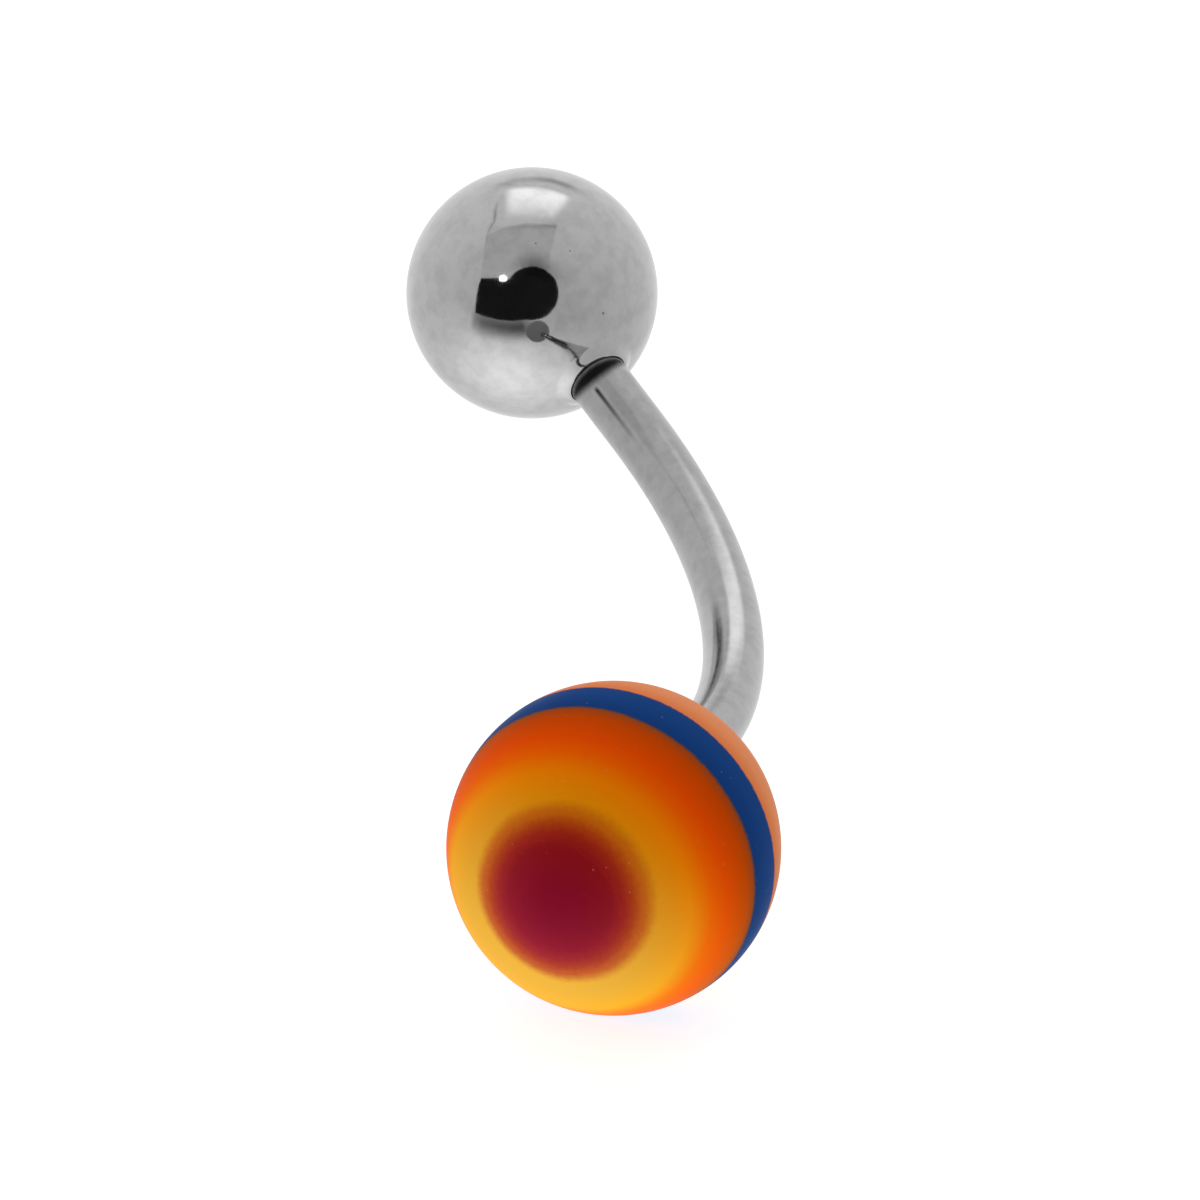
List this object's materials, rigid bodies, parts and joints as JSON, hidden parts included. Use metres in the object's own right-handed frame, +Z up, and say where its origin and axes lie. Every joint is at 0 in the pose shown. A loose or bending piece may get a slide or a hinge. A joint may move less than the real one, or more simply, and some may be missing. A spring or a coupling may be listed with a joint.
{
  "type": "curved barbell",
  "caption": "Curved body-piercing barbell: a bent polished steel shaft with a screw-on steel ball and a larger screw-on acrylic ball in coloured layers.",
  "frame": {"origin": "on the surface the barbell lies on, under the middle of its bounding box", "axes": "+Z up, +X along the barbell from the steel ball to the acrylic ball, +Y the side that the shaft bends out to"},
  "size_m": [0.0302, 0.0082, 0.0078],
  "materials": {
    "polished_steel": "stainless steel polished to a mirror, with no plating",
    "crimson_acrylic": "cast acrylic, tumbled to a satin",
    "yellow_acrylic": "cast acrylic, tumbled to a satin",
    "orange_acrylic": "cast acrylic, tumbled to a satin",
    "blue_acrylic": "cast acrylic, tumbled to a satin",
    "back_acrylic": "cast acrylic, tumbled to a satin"
  },
  "bodies": {
    "bar": {"bar": "polished_steel"},
    "steel_ball": {"steel_ball": "polished_steel"},
    "acrylic_ball": {"crimson_layer": "crimson_acrylic", "yellow_layer": "yellow_acrylic", "orange_layer": "orange_acrylic", "blue_layer": "blue_acrylic", "back_layer": "back_acrylic"}
  },
  "joints": [
    {"name": "steel_ball_unscrew", "type": "slide", "parent": "bar", "child": "steel_ball", "axis": [-0.8558, -0.4314, 0.2853], "range_m": [0, 0.0035]},
    {"name": "acrylic_ball_unscrew", "type": "slide", "parent": "bar", "child": "acrylic_ball", "axis": [0.8945, -0.3425, 0.2873], "range_m": [0, 0.0035]}
  ]
}
